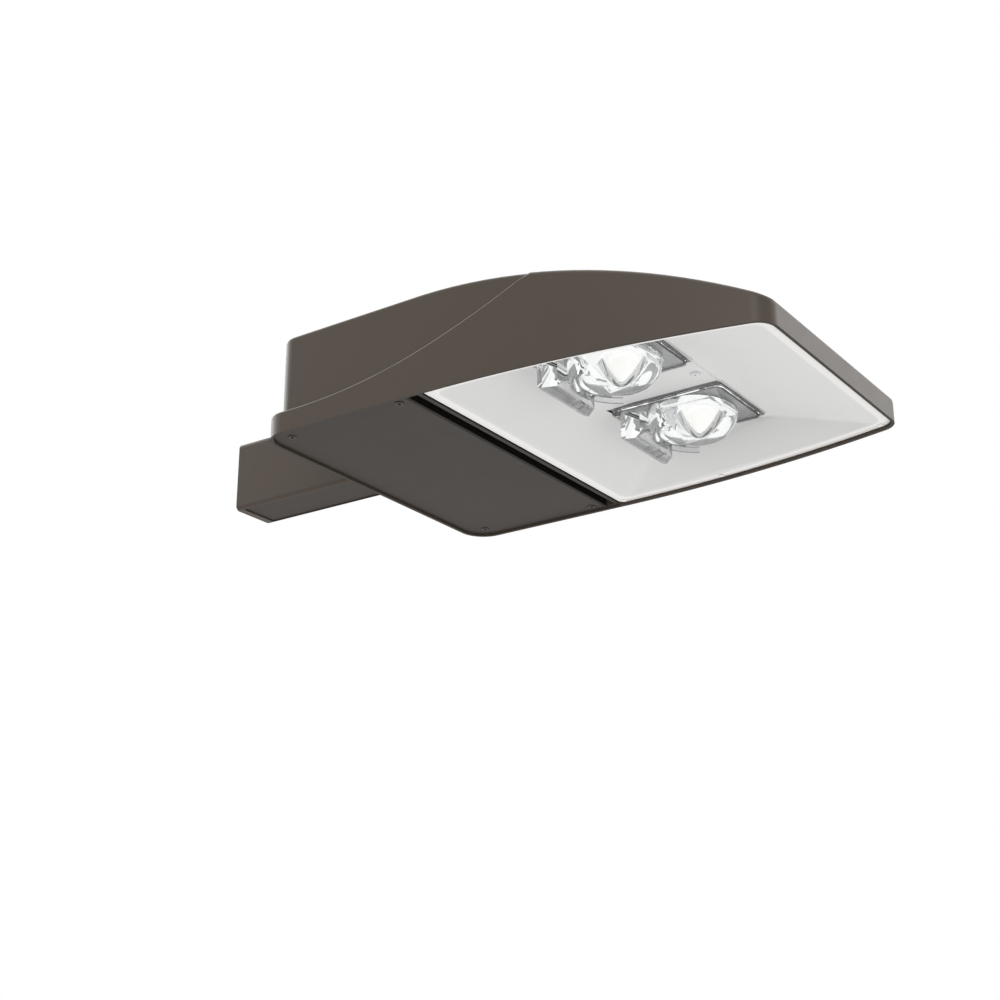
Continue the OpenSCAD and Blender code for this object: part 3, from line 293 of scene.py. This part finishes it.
# Painted light: the whole board glows faintly, so that its field reads white through the lens
BOARD_SHADER = BOARD.node_tree.nodes["Principled BSDF"]
BOARD_SHADER.inputs["Emission Color"].default_value = colour("#FFFEFA")
BOARD_SHADER.inputs["Emission Strength"].default_value = 0.5
# Moulded silicone of the lens seal
SILICONE = surface("grey_silicone", "#BDBDB8", "#C6C6C2", 0.55, 0.6, 0.02)


def rolled_aluminium():
    """Mill-finished aluminium sheet: fine lines along the rolling direction, about 0.5 mm apart."""
    made, tree, shader, place = new_material("brushed_aluminium_plate")
    lines = noise(tree, place, 0.5, 2.0, 0.6, (60, 1, 1))
    tree.links.new(two_tone(tree, lines, "#8E8E8E", "#9A9A9A"), shader.inputs["Base Color"])
    tree.links.new(span(tree, lines, 0.34, 0.46), shader.inputs["Roughness"])
    shader.inputs["Metallic"].default_value = 1.0
    bump(tree, shader, lines, 0.01)
    return made


# After so many reflections, or bounces of any kind, the renderer ends a ray
LAST_REFLECTION = 4
LAST_BOUNCE = 12


def clear_acrylic():
    """Injection-moulded acrylic: water clear, polished, with the faintest flow lines; lamps shine through it.

    Painted light: where a ray is still trapped inside after its last reflection or bounce, the lens glows
    pale grey, standing in for the light around the lens.
    """
    made, tree, shader, place = new_material("clear_acrylic")
    shader.inputs["Base Color"].default_value = colour("#FBFCFC")
    shader.inputs["Transmission Weight"].default_value = 1.0
    shader.inputs["IOR"].default_value = 1.49
    shader.inputs["Roughness"].default_value = 0.015
    bump(tree, shader, noise(tree, place, 9.0, 1.0), 0.03, 0.4)
    path = add(tree, "ShaderNodeLightPath").outputs
    trapped = add(
        tree, "ShaderNodeMath", {"operation": "GREATER_THAN"},
        i0=path["Glossy Depth"], i1=LAST_REFLECTION - 0.5,
    )
    spent = add(
        tree, "ShaderNodeMath", {"operation": "GREATER_THAN"},
        i0=path["Ray Depth"], i1=LAST_BOUNCE - 0.5,
    )
    last = add(tree, "ShaderNodeMath", {"operation": "MAXIMUM"}, i0=trapped.outputs[0], i1=spent.outputs[0])
    shader.inputs["Emission Color"].default_value = colour("#727373")
    shader.inputs["Emission Strength"].default_value = 0.0
    tree.links.new(last.outputs[0], shader.inputs["Emission Strength"])
    clear = add(tree, "ShaderNodeBsdfTransparent", None, Color=colour("#F4F6F6"))
    mixed = add(
        tree, "ShaderNodeMixShader", None,
        i0=path["Is Shadow Ray"], i1=shader.outputs[0], i2=clear.outputs[0],
    )
    tree.links.new(mixed.outputs[0], tree.nodes["Material Output"].inputs["Surface"])
    return made


ALUMINIUM = rolled_aluminium()
ACRYLIC = clear_acrylic()


# Mesh tools
def grid_faces(rows, cols):
    """Quads between the neighbouring points of a grid whose rows close on themselves."""
    i, j = np.meshgrid(np.arange(rows - 1), np.arange(cols), indexing="ij")
    k = (j + 1) % cols
    return np.stack([i * cols + j, i * cols + k, (i + 1) * cols + k, (i + 1) * cols + j], -1).reshape(-1, 4)


def mesh_object(name, points, faces):
    """Object from points in millimetres and a list of faces."""
    mesh = bpy.data.meshes.new(name)
    mesh.from_pydata((np.asarray(points, float) * MM).tolist(), [], [list(map(int, f)) for f in faces])
    made = bpy.data.objects.new(name, mesh)
    bpy.context.scene.collection.objects.link(made)
    return made


def tube_mesh(name, grid):
    """Closed solid from a grid of rings, each row a ring; the first and last ring are capped."""
    rows, cols = grid.shape[:2]
    faces = list(grid_faces(rows, cols))
    faces += [np.arange(cols)[::-1], (rows - 1) * cols + np.arange(cols)]
    return mesh_object(name, grid.reshape(-1, 3), faces)


def tidy_mesh(made, merge=0.001, outward=True, flatten=0.0):
    """Merges points closer than merge millimetres, joins flat neighbours and turns the faces outwards."""
    work = bmesh.new()
    work.from_mesh(made.data)
    bmesh.ops.remove_doubles(work, verts=work.verts, dist=merge * MM)
    if flatten:
        bmesh.ops.dissolve_limit(
            work, angle_limit=math.radians(flatten), verts=work.verts, edges=work.edges
        )
    if outward:
        bmesh.ops.recalc_face_normals(work, faces=work.faces)
    work.to_mesh(made.data)
    work.free()
    return made


def smooth(made, angle=32):
    """Smooth shading that breaks at edges sharper than angle and leaves large faces flat."""
    made.data.polygons.foreach_set("use_smooth", [True] * len(made.data.polygons))
    made.data.set_sharp_from_angle(angle=math.radians(angle))
    even = made.modifiers.new("even_normals", "WEIGHTED_NORMAL")
    even.keep_sharp = True
    return made


def round_edges(made, radius, steps=2, angle=40):
    """Rounds the edges sharper than angle by radius millimetres."""
    edge = made.modifiers.new("rounded_edges", "BEVEL")
    edge.width = radius * MM
    edge.segments = steps
    edge.limit_method = "ANGLE"
    edge.angle_limit = math.radians(angle)
    edge.use_clamp_overlap = True
    return made


def finish_piece(made, material, slot, body, *nodes):
    """Gives the piece its material, lets it ride on its body and stand for its nodes; slot is not used."""
    made.data.materials.clear()
    made.data.materials.append(material)
    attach(made, body)
    if nodes:
        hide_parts(*nodes)
    return made


def body_of(node):
    """Body that a CAD node belongs to."""
    return frame["nodes"][node]["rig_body"]


def refined(node, name, material, slot, radius=0.0, angle=32, flatten=0.3):
    """Copy of a CAD node, merged, with flat faces joined, edges rounded and smooth shading."""
    made = bpy.data.objects.new(name, frame["nodes"][node].data.copy())
    bpy.context.scene.collection.objects.link(made)
    tidy_mesh(made, 0.004, False, flatten)
    if radius:
        round_edges(made, radius)
    smooth(made, angle)
    return finish_piece(made, material, slot, body_of(node), node)


def revolved(name, radii, heights, centre, sides=48):
    """Solid of revolution about a vertical axis.

    Ring i lies at heights[i] and has the radius radii[i], which may vary with the turn.
    """
    turn = np.linspace(0, 2 * np.pi, sides, endpoint=False)
    radii = np.broadcast_to(np.asarray(radii, float).reshape(len(heights), -1), (len(heights), sides))
    grid = np.stack(
        [
            centre[0] + radii * np.cos(turn),
            centre[1] + radii * np.sin(turn),
            centre[2] + np.asarray(heights, float)[:, None] + 0 * radii,
        ],
        -1,
    )
    return tidy_mesh(tube_mesh(name, grid))


def joined(name, parts):
    """One object from several, with their meshes in one."""
    work = bmesh.new()
    for part in parts:
        work.from_mesh(part.data)
        old = part.data
        bpy.data.objects.remove(part)
        bpy.data.meshes.remove(old)
    mesh = bpy.data.meshes.new(name)
    work.to_mesh(mesh)
    work.free()
    made = bpy.data.objects.new(name, mesh)
    bpy.context.scene.collection.objects.link(made)
    return made


# Castings
FACES_DOWN = -0.8
EDGE_BAND = 2.5
EDGE_SLACK = 0.3


def on_swept_edge(face):
    """Whether a face belongs to the rounding along the swept edge."""
    x, y, z = face.center / MM
    if not X_REAR + EDGE_START < x < X_REAR + SWEEP_START + SWEEP_RUN:
        return False
    below_edge = UNDERSIDE + swept_edge(x) - z
    return (
        abs(y) > half_w(x) - EDGE_BAND
        and -EDGE_SLACK < below_edge < EDGE_R + 0.2
        and 0.1 < face.normal.z < 0.98
    )


def make_housing():
    """The housing as cast, with the coat painted darker as shade on what faces down and painted paler as a
    highlight along the swept edge.
    """
    housing = refined("housing", "housing_casting", BRONZE, "bronze_powder_coat", angle=30)
    housing.data.materials.append(BRONZE_PAINTED_SHADE)
    housing.data.materials.append(BRONZE_PAINTED_HIGHLIGHT)
    for face in housing.data.polygons:
        if face.normal.z < FACES_DOWN:
            face.material_index = 1
        elif on_swept_edge(face):
            face.material_index = 2


def make_castings():
    refined("heat_sink", "heat_sink_casting", BRONZE, "bronze_powder_coat", angle=30)
    refined("heat_sink_screws", "heat_sink_screws_turned", ZINC, "zinc_steel", 0.3)
    refined("arm", "arm_casting", BRONZE, "bronze_powder_coat", 0.8, 30)
    # The strip and the cover take the coat with painted shade
    refined("arm_strip", "arm_cover_strip", BRONZE_PAINTED_SHADE, "bronze_powder_coat_dark", 0.3)
    refined("driver_cover", "driver_bay_cover", BRONZE_PAINTED_SHADE, "bronze_powder_coat_dark", angle=30)


# Outlines seen from below
def half_w(x):
    """Half width of the head: straight sides with a little draw, then an arc to the tip."""
    run = x - X_REAR
    rise = HALF_W - SIDE_DRAW - TIP_HALF
    radius = ((HEAD_LEN - SIDE_RUN) ** 2 + rise**2) / (2 * rise)
    arc = radius - np.sqrt(radius**2 - np.clip(run - SIDE_RUN, 0, None) ** 2)
    return HALF_W - SIDE_DRAW * np.clip(run / SIDE_RUN, 0, 1) - arc


def swept_edge(x):
    """Height of the swept edge above the underside: level along the rim, then an arc up to the roof."""
    radius = (SWEEP_RUN**2 + SWEEP_RISE**2) / (2 * SWEEP_RISE)
    run = np.clip(x - X_REAR - SWEEP_START, 0, SWEEP_RUN)
    return RIM_H + radius - np.sqrt(radius**2 - run**2)


def arc_points(cx, cy, r, start, end, count):
    """Points on an arc about (cx, cy), from one angle to another, in degrees."""
    turn = np.radians(np.linspace(start, end, count))
    return np.stack([cx + r * np.cos(turn), cy + r * np.sin(turn)], -1)


def closed_ring(side):
    """Closed outline from one side and its mirror image."""
    return np.concatenate([side, side[::-1] * [1, -1]])


def head_ring(x0, x1, r0, r1, inset, steps=60, arc=12):
    """Outline that follows the head's sides at a distance inset, with rounded corners."""
    rise = HALF_W - SIDE_DRAW - TIP_HALF
    radius = ((HEAD_LEN - SIDE_RUN) ** 2 + rise**2) / (2 * rise)
    lean = math.degrees(math.asin((x1 - r1 - X_REAR - SIDE_RUN) / (radius - r1)))
    xa, xb = x0 + r0, x1 - r1 + r1 * math.sin(math.radians(lean))
    yb = half_w(xb) - inset - r1 * math.cos(math.radians(lean))
    x = np.linspace(xa, xb, steps + 1)[1:-1]
    return closed_ring(np.concatenate([
        arc_points(xa, half_w(xa) - inset - r0, r0, 180, 90, arc + 1),
        np.stack([x, half_w(x) - inset], -1),
        arc_points(x1 - r1, yb, r1, 90 - lean, 0, arc + 1),
    ]))


def box_ring(x0, x1, half, r, steps=60, arc=12):
    """Rounded rectangle with the same count of points as head_ring."""
    x = np.linspace(x0 + r, x1 - r, steps + 1)[1:-1]
    return closed_ring(np.concatenate([
        arc_points(x0 + r, half - r, r, 180, 90, arc + 1),
        np.stack([x, np.full(len(x), float(half))], -1),
        arc_points(x1 - r, half - r, r, 90, 0, arc + 1),
    ]))


# Reflector pan
PAN_FLANGE = 9
PAN_SIDE = 3.8
PAN_REAR_RUN = 60
PAN_FRONT_RUN = 103
PAN_CEILING_HALF = 125
PAN_CEILING_R = 16
PAN_FOLD_R = (10, 12)
PAN_EDGE_R = (6, 16.2)
PAN_THICK = 1.5
PLATE_GAP = 0.5
PLATE_CORNER_R = 3.0


def pan_profile(low, high, z_low, z_high, ease_low=5.0, ease_high=12.0, steps=8):
    """Rings from the flange to the ceiling: a straight slope whose ends are eased by parabolas.

    Each ring point moves along the line from its low to its high point; near the ends it
    follows the parabola that has the flange or the ceiling, and the slope, as tangents.
    """
    low = np.column_stack([low, np.full(len(low), z_low)])
    high = np.column_stack([high, np.full(len(high), z_high)])
    slope = high - low
    slope /= np.linalg.norm(slope, axis=1)[:, None]
    flat = slope * [1, 1, 0]
    flat /= np.linalg.norm(flat, axis=1)[:, None]
    t = np.linspace(0, 1, steps)[:, None, None]

    def eased(corner, before, after, reach):
        first, last = corner - before * reach, corner + after * reach
        return (1 - t) ** 2 * first + 2 * t * (1 - t) * corner + t**2 * last

    return np.concatenate([
        eased(low, flat, slope, ease_low),
        eased(high, slope, flat, ease_high),
    ])


def make_pan():
    """White pan: a flange, four eased slopes and a flat ceiling with an opening round each base plate."""
    z_flange, z_ceiling = PAN_LOW[2], PAN_HIGH[2] - PAN_THICK
    x0, x1 = PAN_LOW[0], PAN_HIGH[0]
    low = head_ring(x0 + PAN_FLANGE, x1 - PAN_FLANGE, *PAN_FOLD_R, PAN_SIDE + PAN_FLANGE)
    high = box_ring(
        x0 + PAN_FLANGE + PAN_REAR_RUN, x1 - PAN_FLANGE - PAN_FRONT_RUN,
        PAN_CEILING_HALF, PAN_CEILING_R,
    )
    edge = head_ring(x0, x1, *PAN_EDGE_R, PAN_SIDE)
    edge = np.column_stack([edge, np.full(len(edge), z_flange)])
    grid = np.concatenate([edge[None], pan_profile(low, high, z_flange, z_ceiling)])
    rows, cols = grid.shape[:2]
    points = [grid.reshape(-1, 3)]
    loops = [np.arange((rows - 1) * cols, rows * cols)]
    count = rows * cols
    for side in ("left", "right"):
        plate_low, plate_high = mm_box(f"base_plate_{side}")
        cx, half = (plate_low + plate_high)[:2] / 2, (plate_high - plate_low)[:2] / 2 + PLATE_GAP
        hole = box_ring(cx[0] - half[0], cx[0] + half[0], half[1], PLATE_CORNER_R, 2, 4) + [0, cx[1]]
        points.append(np.column_stack([hole, np.full(len(hole), z_ceiling)]))
        loops.append(count + np.arange(len(hole)))
        count += len(hole)
    points = np.concatenate(points)
    order = np.concatenate(loops)
    fill = tessellate_polygon([[Vector(points[i]) for i in loop] for loop in loops])
    faces = list(grid_faces(rows, cols)) + [order[list(tri)] for tri in fill]
    made = tidy_mesh(mesh_object("reflector_pan_enamelled", points, faces))
    work = bmesh.new()
    work.from_mesh(made.data)
    if sum(f.normal.z * f.calc_area() for f in work.faces) > 0:
        bmesh.ops.reverse_faces(work, faces=work.faces)
    work.to_mesh(made.data)
    work.free()
    sheet = made.modifiers.new("sheet_thickness", "SOLIDIFY")
    sheet.thickness = PAN_THICK * MM
    sheet.offset = -1
    sheet.use_even_offset = False
    smooth(made, 50)
    finish_piece(made, WHITE, "white_enamel", "head", "reflector_pan")


# Fasteners
def head_screw(name, centre, head_d, head_h, shank_d, shank_len, socket=2.4, dome=0.35, sides=60):
    """Screw that points up, with a domed head and a hexagon socket.

    Each row is a ring; in the socket the radius is that of a hexagon,
    a / cos(u), with u the angle from the middle of the nearest side.
    """
    turn = np.linspace(0, 2 * np.pi, sides, endpoint=False)
    off = (turn + np.pi / 6) % (np.pi / 3) - np.pi / 6
    hexagon = socket / 2 / np.cos(off)
    one = np.ones(sides)
    r = head_d / 2
    bow = np.linspace(0, np.pi / 2, 7)
    edge = head_h * dome
    floor = head_h * 0.62
    radii = [0.02 * one, hexagon * 0.98, hexagon, (socket * 0.62) * one]
    heights = [floor, floor, 0.12, 0.0]
    for a in bow:
        radii.append((r - edge + edge * math.sin(a)) * one)
        heights.append(edge - edge * math.cos(a))
    radii += [r * one, shank_d / 2 * one, shank_d / 2 * one, 0.02 * one]
    heights += [head_h, head_h, head_h + shank_len, head_h + shank_len]
    return revolved(name, np.array(radii), heights, centre, sides)


def corners_of(node, head_d):
    """Centres of the screws of a node, which lie at the corners of its box."""
    low, high = mm_box(node)
    rows = []
    for a, b in zip(low[:2], high[:2]):
        rows.append([a + head_d / 2, b - head_d / 2] if b - a > 1.5 * head_d else [(a + b) / 2])
    return [(x, y) for x in rows[0] for y in rows[1]], low[2], high[2] - low[2]


def screw_set(node, size, material, slot):
    """All screws of one CAD node, in one piece."""
    head_d, head_h, shank_d, socket = size
    places, z, length = corners_of(node, head_d)
    parts = [
        head_screw(f"{node}_{i}", (x, y, z), head_d, head_h, shank_d, length - head_h, socket)
        for i, (x, y) in enumerate(places)
    ]
    made = smooth(joined(f"{node}_turned", parts))
    finish_piece(made, material, slot, body_of(node), node)


# Screw sizes: head diameter, head height, shank diameter, socket across its flats
LENS_SCREW = (6.6, 2.2, 4, 2.4)
COVER_SCREW = (8, 2.4, 5, 3.4)
PAN_SCREW = (9, 2.2, 4, 2.4)
CASE_SCREW = (7.4, 2.6, 4, 2.4)


def make_fasteners():
    for side in ("left", "right"):
        screw_set(f"lens_screws_{side}", LENS_SCREW, ZINC, "zinc_steel")
        for end in ("rear", "front"):
            screw_set(f"cover_screw_{end}_{side}", COVER_SCREW, SCREW_DARK, "dark_screw_steel")
    screw_set("pan_screws", PAN_SCREW, WHITE, "white_enamel_screw")
    for node in ("driver_screws", "surge_screws", "terminal_screws"):
        screw_set(node, CASE_SCREW, ZINC, "zinc_steel")
    refined("arm_bolts", "arm_hex_bolts", ZINC, "zinc_steel", 0.4)
    refined("pan_rivets", "pan_flange_rivets", WHITE, "white_enamel", 0.35)


# Light modules
def make_modules():
    for side in ("left", "right"):
        refined(f"base_plate_{side}", f"base_plate_{side}_rolled", ALUMINIUM, "brushed_aluminium_plate", 0.3)
        refined(f"light_board_{side}", f"light_board_{side}_printed", BOARD, "light_board_laminate", 0.1)
        refined(f"lens_seal_{side}", f"lens_seal_{side}_moulded", SILICONE, "grey_silicone", 0.1)
        refined(f"lens_{side}", f"lens_{side}_moulded", ACRYLIC, "clear_acrylic", angle=28)


# Inside the driver bay
def make_driver_bay():
    refined("led_driver", "led_driver_case", DRIVER_PAINT, "driver_case_paint", 0.8)
    refined("surge_protector", "surge_protector_case", SURGE_CASE, "surge_case_plastic", 0.8)
    refined("terminal_block", "terminal_block_moulded", TERMINAL, "terminal_plastic", 0.4)
    refined("supply_leads", "supply_leads_insulated", LEAD_RED, "red_lead_pvc", angle=60, flatten=0.0)
    refined("output_leads", "output_leads_insulated", LEAD_BLUE, "blue_lead_pvc", angle=60, flatten=0.0)
    refined("wire_grommet", "wire_grommet_moulded", RUBBER, "black_rubber", 0.3)
    refined("cover_gasket", "cover_gasket_strip", RUBBER, "black_rubber", 0.3)
    refined("arm_gasket", "arm_gasket_sheet", RUBBER, "black_rubber", 0.2)


# Floor and light
FLOOR_Z = -1000
FLOOR_HALF = 6000
PLAIN_LIGHT = 0.78
WHITE_WORLD = 1.0


def make_floor():
    """A wide pale floor: from beneath it lets the view through, and glass sees it as the white background."""
    ring = FLOOR_HALF * np.array([[-1, -1], [1, -1], [1, 1], [-1, 1]], float)
    floor = mesh_object("floor", np.column_stack([ring, np.full(4, float(FLOOR_Z))]), [range(4)])
    made, tree, shader, _ = new_material("pale_floor")
    shader.inputs["Base Color"].default_value = colour("#E6E6E5")
    shader.inputs["Roughness"].default_value = 0.8
    white = add(tree, "ShaderNodeEmission", None, Color=(1, 1, 1, 1), Strength=WHITE_WORLD)
    glass_ray = add(tree, "ShaderNodeLightPath").outputs["Is Transmission Ray"]
    lit = add(tree, "ShaderNodeMixShader", None, i0=glass_ray, i1=shader.outputs[0], i2=white.outputs[0])
    clear = add(tree, "ShaderNodeBsdfTransparent")
    behind = add(tree, "ShaderNodeNewGeometry").outputs["Backfacing"]
    mixed = add(tree, "ShaderNodeMixShader", None, i0=behind, i1=lit.outputs[0], i2=clear.outputs[0])
    tree.links.new(mixed.outputs[0], tree.nodes["Material Output"].inputs["Surface"])
    floor.data.materials.append(made)


def make_world():
    """White where the camera, gloss or glass looks, and a plain even light everywhere else."""
    world = bpy.data.worlds.new("studio")
    bpy.context.scene.world = world
    world.use_nodes = True
    tree = world.node_tree
    path = add(tree, "ShaderNodeLightPath").outputs
    seen = path["Is Camera Ray"]
    for kind in ("Is Glossy Ray", "Is Transmission Ray"):
        seen = add(tree, "ShaderNodeMath", {"operation": "MAXIMUM"}, i0=seen, i1=path[kind]).outputs[0]
    level = add(tree, "ShaderNodeMapRange", None, Value=seen, To_Min=PLAIN_LIGHT, To_Max=WHITE_WORLD)
    back = tree.nodes["Background"]
    back.inputs["Color"].default_value = (1, 1, 1, 1)
    tree.links.new(level.outputs[0], back.inputs["Strength"])


def softbox(name, place, target, size, power):
    """Square soft light that faces the target."""
    data = bpy.data.lights.new(name, "AREA")
    data.size = size * MM
    data.energy = power
    lamp = bpy.data.objects.new(name, data)
    aim = Vector(target) - Vector(place)
    lamp.location = Vector(place) * MM
    lamp.rotation_euler = aim.to_track_quat("-Z", "Y").to_euler()
    bpy.context.scene.collection.objects.link(lamp)


def make_lights():
    centre = (420, 0, 0)
    softbox("key_tip", (1850, 2050, 1100), centre, 1900, 23)
    softbox("top_soft", (200, 300, 1900), centre, 1800, 16)
    softbox("side_sheen", (1500, -2350, 1100), centre, 1500, 26)
    softbox("rear_edge", (-1740, 50, 980), centre, 1500, 26)


make_housing()
make_castings()
make_pan()
make_fasteners()
make_modules()
make_driver_bay()
make_floor()
make_world()
make_lights()

bpy.context.scene.view_settings.view_transform = "Standard"
